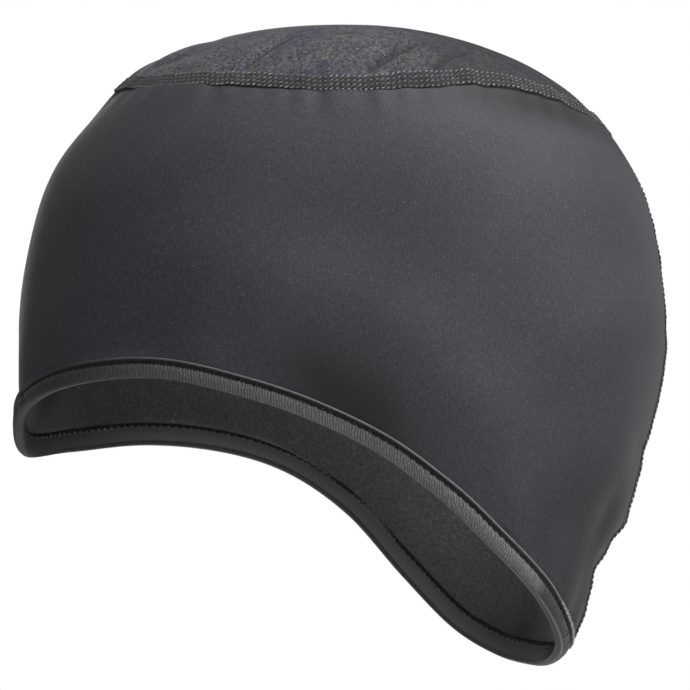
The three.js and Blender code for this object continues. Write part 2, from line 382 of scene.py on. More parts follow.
def new_cloth(name, roughness, sheen, specular):
    """A cloth material, still without its colour and its bumps."""
    material = bpy.data.materials.new(name)
    material.use_nodes = True
    shader = material.node_tree.nodes["Principled BSDF"]
    shader.inputs["Roughness"].default_value = roughness
    shader.inputs["Sheen Weight"].default_value = sheen
    shader.inputs["Sheen Roughness"].default_value = 0.5
    shader.inputs["Specular IOR Level"].default_value = specular
    return material


def covered(material, colour, *bumps):
    """Gives a material its colour and its bumps: heights, each with its distance in metres."""
    tree = material.node_tree
    lower = {}
    for height, distance in bumps:
        bump = {"Height": height, "Distance": distance, **lower}
        lower = {"Normal": new_node(tree, "ShaderNodeBump", bump)}
    shader = tree.nodes["Principled BSDF"]
    plug(colour, shader.inputs["Base Color"])
    plug(lower["Normal"], shader.inputs["Normal"])
    return material


def places_of(material, stretch=(1, 1, 1), uv=False):
    """Where a pattern is read, in metres: on the object, or along and down the cloth's own map."""
    tree = material.node_tree
    if uv:
        source = new_node(tree, "ShaderNodeUVMap", uv_map="cloth")
    else:
        source = new_node(tree, "ShaderNodeTexCoord", output="Object")
    return new_node(tree, "ShaderNodeMapping", {"Vector": source, "Scale": stretch})


def axes_of(places):
    return new_node(places.id_data, "ShaderNodeSeparateXYZ", {0: places}).node.outputs


def grain(places, size, detail=1.0):
    """Soft random grain from about 0 to 1, of a size in metres."""
    inputs = {"Vector": places, "Scale": 1 / size, "Detail": detail}
    return new_node(places.id_data, "ShaderNodeTexNoise", inputs)


def between(value, low, high, to_low=0.0, to_high=1.0):
    """Maps a range of a value onto another, and holds it there."""
    ranges = {"From Min": low, "From Max": high, "To Min": to_low, "To Max": to_high}
    return new_node(value.id_data, "ShaderNodeMapRange", {"Value": value, **ranges})


def math_node(operation, first, second=0.0, third=0.0):
    inputs = {0: first, 1: second, 2: third}
    return new_node(first.id_data, "ShaderNodeMath", inputs, operation=operation)


def product(first, *others):
    for other in others:
        first = math_node("MULTIPLY", first, other)
    return first


def mixed_grains(first, second, low, high, share):
    """Two grains in one, both sharpened to a range, with a share of the first."""
    rest = between(second, low, high, 0.0, 1 - share)
    return math_node("MULTIPLY_ADD", between(first, low, high), share, rest)


def waves(position, pitch):
    """Even waves from 0 to 1 along a position."""
    turn = math_node("MULTIPLY", position, 2 * np.pi / pitch)
    return math_node("MULTIPLY_ADD", math_node("SINE", turn), 0.5, 0.5)


def blend_colours(share, first, second):
    inputs = {0: share, 6: first, 7: second}
    return new_node(share.id_data, "ShaderNodeMix", inputs, output=2, data_type="RGBA")


def layered(colour, *layers):
    """A colour with others laid over it, each by its own share."""
    for share, over in layers:
        colour = blend_colours(share, colour, over)
    return colour


def lint(places, spacing, size, share):
    """Small stray fibres: 1 on a speck, 0 elsewhere. A share of the cells holds one."""
    cells = new_node(places.id_data, "ShaderNodeTexVoronoi",
                     {"Vector": places, "Scale": 1 / spacing}, output="Distance")
    in_speck = between(cells, size / spacing, 0.4 * size / spacing)
    split = new_node(places.id_data, "ShaderNodeSeparateColor", {0: cells.node.outputs["Color"]})
    chosen = math_node("LESS_THAN", split, share)
    return product(in_speck, product(chosen, split.node.outputs[1]))


def shade_of(material):
    """How far the mesh's own shade attribute darkens the cloth: painted shade."""
    return new_node(material.node_tree, "ShaderNodeAttribute", output="Fac", attribute_name="shade")


def set_shade(mesh, values):
    layer = mesh.attributes.new("shade", "FLOAT", "POINT")
    whole = np.zeros(len(mesh.vertices), dtype=np.float32)
    whole[:values.size] = values.ravel()
    layer.data.foreach_set("value", whole)


def panel_knit():
    """Smooth stretch knit, charcoal with a satin bloom, its fine wales running down."""
    wale_pitch, course_pitch = 0.00046, 0.000368
    dark, light = (0.023, 0.0235, 0.0275, 1), (0.053, 0.0555, 0.0655, 1)
    speck, in_shade = (0.088, 0.091, 0.106, 1), (0.010, 0.010, 0.011, 1)
    material = new_cloth("panel_knit", roughness=0.62, sheen=0.12, specular=0.3)
    whole = places_of(material)
    round_head, down, _ = axes_of(places_of(material, uv=True))
    streaks = grain(places_of(material, stretch=(1, 0.4, 1), uv=True), 0.0008, detail=2.0)
    fine = grain(whole, 0.00055, detail=2.0)
    mottle = grain(whole, 0.030, detail=2.0)
    mixed = mixed_grains(streaks, fine, 0.3, 0.7, share=0.3)
    mixed = math_node("ADD", mixed, between(mottle, 0.3, 0.7, -0.12, 0.12))
    specks = lint(whole, spacing=0.0012, size=0.00034, share=0.5)
    # The shade attribute lays painted shade over the knit's colour.
    colour = layered(blend_colours(mixed, dark, light), (specks, speck),
                     (shade_of(material), in_shade))
    wales, courses = waves(round_head, wale_pitch), waves(down, course_pitch)
    return covered(material, colour, (wales, 0.000012), (courses, 0.000008), (fine, 0.00004),
                   (streaks, 0.00004))


def panel_fleece():
    """The panel's brushed inside: short, dull and darker, with a few bright fibres."""
    dark, light = (0.085, 0.085, 0.084, 1), (0.190, 0.190, 0.186, 1)
    speck, in_shade = (0.50, 0.50, 0.50, 1), (0.020, 0.020, 0.020, 1)
    material = new_cloth("panel_fleece", roughness=0.95, sheen=0.3, specular=0.08)
    whole = places_of(material)
    fibres = grain(whole, 0.0011, detail=4.0)
    tufts = grain(whole, 0.006, detail=3.0)
    mixed = product(between(fibres, 0.3, 0.75), between(tufts, 0.2, 0.8, 0.5, 1.0))
    specks = lint(whole, spacing=0.0045, size=0.00045, share=0.3)
    # The shade attribute lays painted shade over the fleece's colour.
    colour = layered(blend_colours(mixed, dark, light), (specks, speck),
                     (shade_of(material), in_shade))
    return covered(material, colour, (tufts, 0.0006), (fibres, 0.0004))


def girth(azimuth):
    """Metres round the head from the forehead, at its mean radius."""
    return np.radians(azimuth) * mean_radius


def below_seam(azimuth, drop):
    """Metres down the panel from the crown seam's lower edge. The cloth slopes there."""
    slope = 1.15
    return (drop - seam_drop(azimuth)) * slope - seam_width / 2


def seam_puckers(position, seed):
    """The small waves that stitches draw a seam and the cloth beside it into."""
    return 0.00024 * ripples(position, [0.0093, 0.0131, 0.0177], seed)


def seam_pull(distance, position, seed):
    """Relief beside a line of stitches, from the distance to it and the position along it."""
    return seam_puckers(position, seed) * near(distance, 0, 0.007)


def forehead_ease(azimuth, drop):
    """The top of the forehead lies a little flatter."""
    return patches([(0, 55, 0.024, 0.018, -0.0008)], azimuth, drop)


def back_ridge(azimuth, drop, from_nape):
    """The ridge that the sewn ends raise down the back. It is low beside the crown seam and the
    rim, and has a lump near each end."""
    half_width, lowest, fuller = 0.014, 0.0003, 0.0009
    from_seam = ramp(drop - seam_drop(azimuth), -0.002, 0.007)
    from_rim = ramp(above_rim(azimuth, drop), 0.004, 0.05)
    lumps = 0.0006 * near(drop, 0.047, 0.016) + 0.0008 * near(drop, 0.181, 0.007)
    height = lowest + fuller * from_seam * from_rim + lumps
    return height * np.clip(1 - from_nape / half_width, 0, 1) ** 2


def rim_relief(azimuth, drop):
    """Above the tape the cloth swells over the ears, sinks in at their rim, and ripples a little
    between the ears and the nape."""
    slope = 0.8
    above_tape = above_rim(azimuth, drop) * slope - tape_height
    at_ears = [(84, 36, 0.022, 0.014, 0.0028), (84, 36, 0, 0.008, -0.0011)]
    ears = patches(at_ears, azimuth, above_tape)
    elsewhere = (1 - near(azimuth, 0, 45)) * (1 - near(abs(azimuth), 84, 36))
    bead = 0.0004 * near(above_tape, 0.006, 0.005) * elsewhere
    waviness = 0.0003 * ripples(girth(azimuth), [0.021, 0.034], seed=7)
    return ears + bead + waviness * near(above_tape, 0.004, 0.009)


def panel_relief(azimuth, drop):
    """What the panel's surface has beyond its main folds."""
    place = smooth_point(azimuth, drop)
    round_head = girth(azimuth)
    from_axis = np.hypot(place[..., 0], place[..., 1] - widest_behind_axis)
    from_nape = np.radians(180 - abs(azimuth)) * from_axis
    nape_pull = 0.5 + 1.6 * near(drop, 0.160, 0.022)
    relief = seam_pull(below_seam(azimuth, drop), round_head, seed=17)
    relief += seam_pull(from_nape - seam_width / 2, drop, seed=5) * nape_pull
    relief += patches([(130, 17, 0.007, 0.0065, -0.0020)], azimuth, below_seam(azimuth, drop))
    relief += forehead_ease(azimuth, drop) + back_ridge(azimuth, drop, from_nape)
    relief -= 0.0009 * ramp(drop, 0.09, 0.108) * near(abs(azimuth), 180, 22)
    relief += patches([(180, 22, 0.163, 0.012, -0.0008)], azimuth, drop)
    relief -= 0.0010 * ramp(drop, 0.092, 0.112) * near(azimuth, 0, 45)
    round_waves = ripples(round_head + 0.4 * drop, [0.061, 0.083], seed=11)
    down_waves = ripples(drop, [0.047, 0.071], seed=13)
    return relief + rim_relief(azimuth, drop) + 0.0004 * round_waves * down_waves


def panel_shade(azimuth, drop):
    """Painted shade on the panel: under the crown seam at the back, over the ear's rim and
    above the nape's."""
    under_seam_band = patches([(136, 21, 0.003, 0.006, 0.95)], azimuth, below_seam(azimuth, drop))
    over_rim = [(82, 13, 0.010, 0.013, 0.95), (165, 25, 0.028, 0.024, 0.8)]
    return under_seam_band + patches(over_rim, azimuth, above_rim(azimuth, drop))


def fleece_shade(azimuth, drop):
    """Painted shade on the inside: at the forehead, and low at the nape."""
    forehead, nape = 0.78 * near(azimuth, 0, 55), 0.4 * near(abs(azimuth), 158, 26)
    return forehead + nape + patches([(146, 26, 0, 0.022, 0.7)], azimuth, above_rim(azimuth, drop))


def beside_nape(drop, across):
    """The azimuth at a distance across from the nape's centre line."""
    return 180 - np.degrees(np.arcsin(across / smooth(outline, "root", "back", np.sqrt(drop))))


def side_panel_cloth():
    station_count, row_count = 430, 88
    hem_above_rim, hem_set_in = 0.0012, 0.0003
    station = np.linspace(-180, 180, station_count)
    even = np.linspace(0, 1, row_count)
    share = 0.4 * even + 0.6 * (1 - np.cos(np.pi * even)) / 2
    top = drop_after(station, seam_drop(station), seam_width / 2 - under_seam)
    bottom = drop_above_rim(station, hem_above_rim)
    drop = top[:, None] + (bottom - top)[:, None] * share
    azimuth = station[:, None] * beside_nape(drop, seam_width / 2 - under_seam) / 180
    held_flat = np.clip(6 - 6 * above_rim(azimuth, drop) / (1.25 * tape_height), 0, 1)
    relief = panel_relief(azimuth, drop) * (1 - held_flat)
    outside = cloth_point(azimuth, drop, hem_set_in * held_flat, relief)
    inside = cloth_point(azimuth, drop, cloth_wall - hem_set_in * held_flat, relief)
    loops = np.concatenate([outside, inside[:, ::-1]], axis=1)
    down = np.concatenate([drop, drop[:, ::-1]], axis=1)

    def uv_of(loop, place):
        return girth(station)[loop], down[loop, place % (2 * row_count)]

    def slot_of(loop, place):
        return place >= row_count

    materials = [panel_knit(), panel_fleece()]
    cloth = loft("side_panel_cloth", loops, materials, uv_of=uv_of, slot_of=slot_of)
    shades = [panel_shade(azimuth, drop), fleece_shade(azimuth, drop)[:, ::-1]]
    set_shade(cloth.data, np.concatenate(shades, axis=1))
    return cloth


side_panel = side_panel_cloth()
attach(side_panel, "root")
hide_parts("side_panel")


# Back seam
# The panel's two ends meet edge to edge down the back of the head, under a flat seam that four
# needles sew at once. Covering threads run across between the needles' rows, outside and inside.

needle_rows = 4
row_spacing = 0.0017
stitch_pitch = 0.0017


def seam_thread(name, dark, light):
    """Dull polyester thread with its twist and some unevenness."""
    material = new_cloth(name, roughness=0.6, sheen=0.15, specular=0.4)
    whole = places_of(material)
    twist = grain(whole, 0.00022, detail=1.0)
    uneven = between(grain(whole, 0.0016, detail=2.0), 0.3, 0.7, 0.2, 1.0)
    worn = between(grain(whole, 0.017, detail=2.0), 0.42, 0.58, 0.5, 1.0)
    mixed = product(between(twist, 0.3, 0.7, 0.35, 1.0), uneven, worn)
    return covered(material, blend_colours(mixed, dark, light), (twist, 0.00006))


def seam_bed():
    """The cloth edges under the seam's threads: dark in its hollows, with threads showing."""
    dark, light = (0.014, 0.014, 0.015, 1), (0.058, 0.059, 0.063, 1)
    material = new_cloth("seam_bed", roughness=0.85, sheen=0.1, specular=0.15)
    threads = grain(places_of(material), 0.0007, detail=3.0)
    colour = blend_colours(between(threads, 0.35, 0.7), dark, light)
    return covered(material, colour, (threads, 0.0003))


needle_thread = seam_thread("needle_thread", (0.08, 0.08, 0.084, 1), (0.42, 0.42, 0.43, 1))
cover_thread = seam_thread("cover_thread", (0.040, 0.040, 0.043, 1), (0.110, 0.110, 0.116, 1))
middle_thread = seam_thread("middle_thread", (0.08, 0.08, 0.084, 1), (0.23, 0.23, 0.24, 1))
bed_finish = seam_bed()


def seam_section(half_count=15):
    """Across and depth of the seam's bed, once round: hollow at the needle rows, full between."""
    reach = np.linspace(-1, 1, half_count) * seam_width / 2
    rows = (np.arange(needle_rows) - (needle_rows - 1) / 2) * row_spacing
    pressed = sum(near(reach, row, 0.0004) for row in rows)
    shoulder = 1 - abs(reach / (seam_width / 2)) ** 6
    proud = 0.0001 + 0.00032 * shoulder - 0.00016 * pressed
    across = np.concatenate([reach, reach[::-1]])
    depth = np.concatenate([-proud, cloth_wall + proud])
    return across, depth


def back_seam_place(drop, across):
    """The azimuth and the relief at a distance across from the back seam's centre line."""
    azimuth = beside_nape(drop, across)
    return azimuth, panel_relief(np.minimum(azimuth, 360 - azimuth), drop)


def back_seam_band():
    across, depth = seam_section()
    top = drop_after(180.0, seam_drop(180.0), seam_width / 2 - under_seam)
    bottom = drop_above_rim(180.0, tape_height * 0.6)
    drop = np.linspace(top, bottom, 300)[:, None] + 0 * across
    azimuth, relief = back_seam_place(drop, across)
    return loft("back_seam_band", cloth_point(azimuth, drop, depth, relief), [bed_finish])


back_seam = back_seam_band()
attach(back_seam, "root")
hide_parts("back_seam")


def guided_tree(name, output, sockets):
    """A Geometry Nodes tree for what follows a guide line: the tree, and its named inputs."""
    tree = bpy.data.node_groups.new(name, "GeometryNodeTree")
    guide = {"Guide": ("Geometry", None)}
    for label, (kind, value) in (guide | sockets | {"Finish": ("Material", None)}).items():
        kind = "NodeSocket" + kind
        socket = tree.interface.new_socket(name=label, in_out="INPUT", socket_type=kind)
        if value is not None:
            socket.default_value = value
    tree.interface.new_socket(name=output, in_out="OUTPUT", socket_type="NodeSocketGeometry")
    return tree, tree.nodes.new("NodeGroupInput").outputs


def along_guide(tree, guide, spacing):
    """The guide as a curve with evenly spaced points, and at each the way out of the cloth and
    the way along."""
    curve = new_node(tree, "GeometryNodeMeshToCurve", {0: guide})
    points = new_node(tree, "GeometryNodeResampleCurve", {"Curve": curve, "Length": spacing},
                      mode="LENGTH")
    out = new_node(tree, "GeometryNodeInputNamedAttribute", {"Name": "outward"},
                   data_type="FLOAT_VECTOR")
    return points, out, new_node(tree, "GeometryNodeInputTangent")


def hand_out(tree, geometry, finish):
    """Ends a tree: its geometry made plain, smooth and of one finish."""
    plain = new_node(tree, "GeometryNodeRealizeInstances", {0: geometry})
    soft = new_node(tree, "GeometryNodeSetShadeSmooth", {0: plain})
    done = new_node(tree, "GeometryNodeSetMaterial", {0: soft, "Material": finish})
    plug(done, tree.nodes.new("NodeGroupOutput").inputs[0])
    return tree


def stitch_tree():
    """Geometry Nodes that lay one rounded stitch at each pitch along a guide line. The guide's
    points carry the direction that faces out of the cloth."""
    tree, given = guided_tree("stitches_along_guide", "Stitches", {
        "Pitch": ("Float", stitch_pitch),
        "Length": ("Float", 0.0013),
        "Width": ("Float", 0.0006),
        "Height": ("Float", 0.00045),
        "Lean": ("Float", 0.0),
        "Unevenness": ("Float", 0.15),
        "Seed": ("Int", 1),
    })
    uneven, seed = given["Unevenness"], given["Seed"]
    points, out, tangent = along_guide(tree, given["Guide"], given["Pitch"])
    stitch = new_node(tree, "GeometryNodeMeshUVSphere", {"Segments": 8, "Rings": 5, "Radius": 0.5})
    least, most = math_node("MULTIPLY_ADD", uneven, -1, 1), math_node("ADD", uneven, 1)
    vary = new_node(tree, "FunctionNodeRandomValue", {0: least, 1: most, "Seed": seed},
                    data_type="FLOAT_VECTOR")
    size = new_node(tree, "ShaderNodeCombineXYZ",
                    {0: given["Length"], 1: given["Width"], 2: given["Height"]})
    size = new_node(tree, "ShaderNodeVectorMath", {0: size, 1: vary}, operation="MULTIPLY")
    wobble = new_node(tree, "FunctionNodeRandomValue",
                      {2: math_node("MULTIPLY", uneven, -1), 3: uneven, "Seed": seed},
                      output=1, data_type="FLOAT")
    lean = new_node(tree, "ShaderNodeCombineXYZ", {2: math_node("ADD", given["Lean"], wobble)})
    lean = new_node(tree, "FunctionNodeEulerToRotation", {0: lean})
    aim = new_node(tree, "FunctionNodeAxesToRotation", {0: out, 1: tangent},
                   primary_axis="Z", secondary_axis="X")
    aim = new_node(tree, "FunctionNodeRotateRotation", {0: aim, 1: lean}, rotation_space="LOCAL")
    laid = new_node(tree, "GeometryNodeInstanceOnPoints",
                    {"Points": points, "Instance": stitch, "Rotation": aim, "Scale": size})
    return hand_out(tree, laid, given["Finish"])


stitches_along_guide = stitch_tree()


def guide_mesh(azimuth, drop, depth, relief=0.0, closed=True):
    """Edges along a line of the cloth, whose points carry the direction facing out of it."""
    points = cloth_point(azimuth, drop, depth, relief)
    count = len(points)
    mesh = bpy.data.meshes.new("guide")
    edge_count = count if closed else count - 1
    mesh.from_pydata(points.tolist(), [(i, (i + 1) % count) for i in range(edge_count)], [])
    layer = mesh.attributes.new("outward", "FLOAT_VECTOR", "POINT")
    layer.data.foreach_set("vector", outward(azimuth, drop).astype(np.float32).ravel())
    return mesh


def grown(tree, guide, **inputs):
    """The plain mesh that a node tree makes on a guide, with the inputs set by name."""
    carrier = add_object("guide", guide)
    modifier = carrier.modifiers.new("grow", "NODES")
    modifier.node_group = tree
    identifiers = {item.name: item.identifier for item in tree.interface.items_tree}
    for name, value in inputs.items():
        modifier[identifiers[name.replace("_", " ")]] = value
    depsgraph = bpy.context.evaluated_depsgraph_get()
    mesh = bpy.data.meshes.new_from_object(carrier.evaluated_get(depsgraph), depsgraph=depsgraph)
    carrier.modifiers.remove(modifier)
    bpy.data.objects.remove(carrier)
    return mesh


def joined(name, meshes):
    """One object of several plain meshes."""
    work = bmesh.new()
    finishes = []
    for mesh in meshes:
        start = len(work.faces)
        work.from_mesh(mesh)
        work.faces.ensure_lookup_table()
        for material in mesh.materials:
            if material not in finishes:
                finishes.append(material)
        for face in work.faces[start:]:
            face.material_index = finishes.index(mesh.materials[face.material_index])
    result = bpy.data.meshes.new(name)
    work.to_mesh(result)
    work.free()
    for material in finishes:
        result.materials.append(material)
    return add_object(name, result)


def seam_stitches(name, line_at, closed, depth):
    """The needle rows and the threads across between them, on one face of a seam. A function
    gives the azimuths, drops and relief of the line a distance across from the seam's centre."""
    needle = {"Length": 0.0013, "Width": 0.00056, "Height": 0.00052, "Lean": 0.6}
    cover = {"Length": 0.0019, "Width": 0.00036, "Height": 0.0003, "Lean": 0.9}
    finishes = [needle_thread, middle_thread, middle_thread, needle_thread]
    rows = [(row, needle, 10 + row, finishes[row]) for row in range(needle_rows)]
    rows += [(lane + 0.5, cover, 20 + lane, cover_thread) for lane in range(needle_rows - 1)]
    meshes = []
    for row, shape, seed, finish in rows:
        azimuth, drop, relief = line_at((row - (needle_rows - 1) / 2) * row_spacing)
        guide = guide_mesh(azimuth, drop, depth, relief, closed)
        meshes.append(grown(stitches_along_guide, guide, Pitch=stitch_pitch, **shape,
                            Unevenness=0.2, Seed=seed, Finish=finish))
    return joined(name, meshes)


def back_seam_line(across):
    top = drop_after(180.0, seam_drop(180.0), seam_width / 2)
    drop = np.linspace(top, drop_above_rim(180.0, tape_height), 400)
    azimuth, relief = back_seam_place(drop, across)
    return azimuth, drop, relief


for face, depth in (("outside", -0.00045), ("inside", cloth_wall + 0.00025)):
    stitches = seam_stitches("back_seam_stitches_" + face, back_seam_line, False, depth)
    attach(stitches, "root")


# Crown
# An oval of finely speckled stretch knit closes the top. It is a little fuller than the head, so
# soft puckers run up from the seam.

def crown_knit():
    """Speckled stretch knit: dark and pale grey fibres mixed, with a cool cast in places."""
    dark, light, cool = (0.009, 0.009, 0.011, 1), (0.118, 0.119, 0.127, 1), (0.066, 0.066, 0.104, 1)
    speck, in_shade = (0.24, 0.24, 0.265, 1), (0.008, 0.008, 0.010, 1)
    material = new_cloth("crown_knit", roughness=0.7, sheen=0.15, specular=0.25)
    whole = places_of(material)
    fibres = grain(whole, 0.00065, detail=2.0)
    loops = grain(whole, 0.0014, detail=2.0)
    cast = between(grain(whole, 0.010, detail=2.0), 0.42, 0.66)
    mixed = mixed_grains(fibres, loops, 0.42, 0.58, share=0.6)
    specks = lint(whole, spacing=0.0014, size=0.0004, share=0.45)
    # The shade attribute lays painted shade over the crown's colour.
    colour = layered(blend_colours(mixed, dark, blend_colours(cast, light, cool)),
                     (specks, speck), (shade_of(material), in_shade))
    return covered(material, colour, (loops, 0.00018), (fibres, 0.00012))


# Narrower creases inside the puckers, and one at the front that reaches over the top.
crown_creases = [
    # (side, back) at its two ends, width, depth
    ((0.030, -0.060), (0.038, -0.046), 0.0016, 0.0004),
    ((0.038, -0.047), (0.014, -0.040), 0.0030, 0.0004),
    ((0.056, -0.037), (0.044, -0.017), 0.0012, 0.0011),
    ((0.060, -0.027), (0.053, -0.011), 0.0011, 0.0007),
    ((0.0615, 0.003), (0.049, 0.019), 0.0014, 0.0020),
    ((0.059, 0.023), (0.044, 0.036), 0.0012, 0.0011),
]

# How far the crown seam's upper and lower edges stand from an even band, where it puckers.
seam_waves = table("azimuth above below", [
    (0, 0.0, 0.0),
    (60, 0.0001, 0.0001),
    (76, -0.0001, 0.0),
    (90, 0.0003, 0.0004),
    (97, 0.0008, 0.0002),
    (105, 0.0005, 0.0008),
    (111, 0.0011, -0.0003),
    (118, 0.0005, 0.0004),
    (126, 0.0002, 0.0001),
    (140, 0.0, 0.0),
    (180, 0.0, 0.0),
])


def crease_share(place):
    """The creases are full on the left side and slighter on the right."""
    return 0.4 + 0.6 * ramp(place[..., 0], -0.01, 0.01)


def crown_relief(azimuth, drop):
    """What the crown's surface has beyond its puckers: the seam's pull, and creases with raised
    sides."""
    place = smooth_point(azimuth, drop)
    slope = 1.2
    above_seam = (seam_drop(azimuth) - drop) * slope - seam_width / 2
    relief = seam_pull(above_seam, girth(azimuth), seed=17) + forehead_ease(azimuth, drop)
    waviness = 0.0003 * ripples(girth(azimuth), [0.019, 0.027], seed=19)
    relief += waviness * near(above_seam, 0, 0.013)
    for start, end, width, most in crown_creases:
        away, along = beside_line(place, start, end)
        shape = 0.25 * near(away, 2 * width, width) - near(away, 0, width)
        ends = (1 - along ** 4) * ramp(above_seam, 0, 0.004)
        relief += most * shape * ends * crease_share(place)
    return relief


def crown_shade(azimuth, drop):
    """Painted shade along the crown's creases and towards the back, and a darker tone near the top.
    """
    darkest = 0.85
    place = smooth_point(azimuth, drop)
    towards_back = ramp(place[..., 1], 0.004, 0.036)
    shade = 0.65 * towards_back + 0.25 * near(drop, 0, 0.012) * (1 - towards_back)
    for start, end, width, most in crown_creases:
        away, along = beside_line(place, start, end)
        dark = min(600 * most, darkest) * crease_share(place)
        shade += dark * near(away, 0, 0.6 * width) * (1 - along ** 6)
    return np.clip(shade, 0, darkest)


def crown_cloth():
    # The stations lie closer together at the sides, where the creases are.
    station_count = 600
    turn = np.linspace(-180, 180, 3601)
    crowding = np.cumsum(1 + 1.3 * near(abs(turn), 92, 34))
    crowding -= crowding[0]
    even = np.arange(station_count) / station_count * crowding[-1]
    station = np.interp(even, crowding, turn)
    edge = drop_after(station, seam_drop(station), under_seam - seam_width / 2)
    faces, shades = [], []
    for depth, ring_count in ((0, 100), (cloth_wall, 28)):
        drop = edge * (np.arange(1, ring_count + 1) / ring_count)[:, None] ** 1.85
        azimuth = station + 0 * drop
        faces.append(cloth_point(azimuth, drop, depth, crown_relief(azimuth, drop)))
        shades.append(crown_shade(azimuth, drop) * (depth == 0))
    loops = np.concatenate([faces[0], faces[1][::-1]], axis=0)
    cloth = loft("crown_cloth", loops, [crown_knit()], poles=[(0, 0, cloth_wall), (0, 0, 0)])
    set_shade(cloth.data, np.concatenate(shades, axis=0))
    return cloth


crown = crown_cloth()
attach(crown, "root")
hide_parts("crown")


# Crown seam
# The same flat seam joins the crown and the panel edge to edge, all the way round. Its edges wave
# a little where the crown's cloth is gathered in at the sides.

def crown_seam_line(across, azimuth=np.linspace(-180, 180, 900, endpoint=False)):
    """The azimuths, drops and relief at a distance across from the seam's centre."""
    lower_share = across / seam_width + 0.5
    above = smooth(seam_waves, "azimuth", "above", abs(azimuth)) * (1 - lower_share)
    below = smooth(seam_waves, "azimuth", "below", abs(azimuth)) * lower_share
    drop = drop_after(azimuth, seam_drop(azimuth), across + below - above)
    relief = seam_puckers(girth(azimuth), seed=17) + forehead_ease(azimuth, seam_drop(azimuth))
    return azimuth, drop, relief


def crown_seam_band():
    across, depth = seam_section()
    station = np.linspace(-180, 180, 560, endpoint=False)[:, None]
    azimuth, drop, relief = crown_seam_line(across, station + 0 * across)
    points = cloth_point(azimuth, drop, depth, relief)
    return loft("crown_seam_band", points, [bed_finish], round_loops=True)


crown_seam = crown_seam_band()
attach(crown_seam, "root")
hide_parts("crown_seam")


for face, depth in (("outside", -0.00025), ("inside", cloth_wall + 0.00025)):
    stitches = seam_stitches("crown_seam_stitches_" + face, crown_seam_line, True, depth)
    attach(stitches, "root")


# Rim binding
# Ribbed elastic tape is folded over the panel's edge. A zigzag of dark thread sews it down along
# its upper edge, which stands above the stitches as a thin pale cord.

rib_pitch = 0.00088
rib_height = 0.00012
zigzag_pitch = 0.0025
groove_middle = 0.0047
tape_joint_azimuth = 144


def ribbed_elastic(length_round):
    """The tape's ribs and its bands: pale cord, stitched groove painted near black as shade, ribbed
    body, smooth inside, with painted shadow along the fold. Its map runs along the rim and up from
    the fold, with the inside below zero."""
    dark, light, pale = (0.035, 0.035, 0.037, 1), (0.310, 0.310, 0.317, 1), (0.24, 0.24, 0.245, 1)
    groove, smooth_side = (0.010, 0.010, 0.011, 1), (0.185, 0.185, 0.185, 1)
    in_shade = (0.016, 0.016, 0.017, 1)
    material = new_cloth("ribbed_elastic", roughness=0.6, sheen=0.2, specular=0.3)
    whole = places_of(material)
    round_rim, level, _ = axes_of(places_of(material, uv=True))
    yarns = grain(places_of(material, stretch=(1, 0.6, 1), uv=True), 0.00045, detail=2.0)
    wear = grain(whole, 0.005, detail=3.0)
    drift = between(grain(whole, 0.0022, detail=1.0), 0.2, 0.8, 0.0, 0.0009)
    ribs = waves(math_node("ADD", round_rim, drift), rib_pitch)
    knots = waves(math_node("ADD", level, drift), 0.00075)
    mixed = product(between(ribs, 0.15, 0.8, 0.25, 1.0), between(yarns, 0.3, 0.7, 0.35, 1.0),
                    between(knots, 0.1, 0.7, 0.75, 1.0), between(wear, 0.3, 0.7, 0.8, 1.0))
    teeth = between(yarns, 0.3, 0.7, 0.0, 0.0006)
    teeth = math_node("MULTIPLY_ADD", waves(round_rim, zigzag_pitch), 0.0007, teeth)
    in_groove = math_node("GREATER_THAN", level, math_node("ADD", teeth, groove_middle - 0.0010))
    joint, joint_end = [length_round * (tape_joint_azimuth + 180 + turn) / 360 for turn in (0, 3)]
    past_joint = between(round_rim, joint, joint_end)
    fold_line = product(between(level, 0.0006, 0.0003, 0.0, 0.7), between(level, 0.00003, 0.0001))
    outer = layered(
        blend_colours(mixed, dark, light),
        # Painted shadow along the fold.
        (between(level, 0.0005, -0.0002), dark),
        # Painted shade: the stitched groove is painted near black.
        (in_groove, groove),
        (between(level, 0.00535, 0.0057, 0.0, 0.3), pale),
        (between(level, 0.00568, 0.0058), pale),
        (product(past_joint, between(level, 0.0056, 0.0058, 0.85, 0.0)), groove),
        (product(past_joint, fold_line), pale),
    )
    inner = layered(
        blend_colours(between(yarns, 0.3, 0.7, 0.0, 0.25), smooth_side, dark),
        # Painted shadow: a near-black line along the inside's top edge, where its zigzag lies.
        (between(level, -0.0060, -0.0062), groove),
        # Painted shadow on the inside next to the fold.
        (between(level, -0.0016, -0.0010), dark),
    )
    # The shade attribute lays painted shade over the tape.
    colour = layered(inner, (between(level, -0.0010, -0.0004), outer),
                     (shade_of(material), in_shade))
    return covered(material, colour, (ribs, 0.00010), (yarns, 0.00012))


def dark_thread():
    dark, light = (0.008, 0.008, 0.009, 1), (0.022, 0.022, 0.023, 1)
    material = new_cloth("dark_thread", roughness=0.6, sheen=0.1, specular=0.25)
    twist = grain(places_of(material), 0.00025, detail=1.0)
    colour = blend_colours(between(twist, 0.3, 0.7), dark, light)
    return covered(material, colour, (twist, 0.00006))


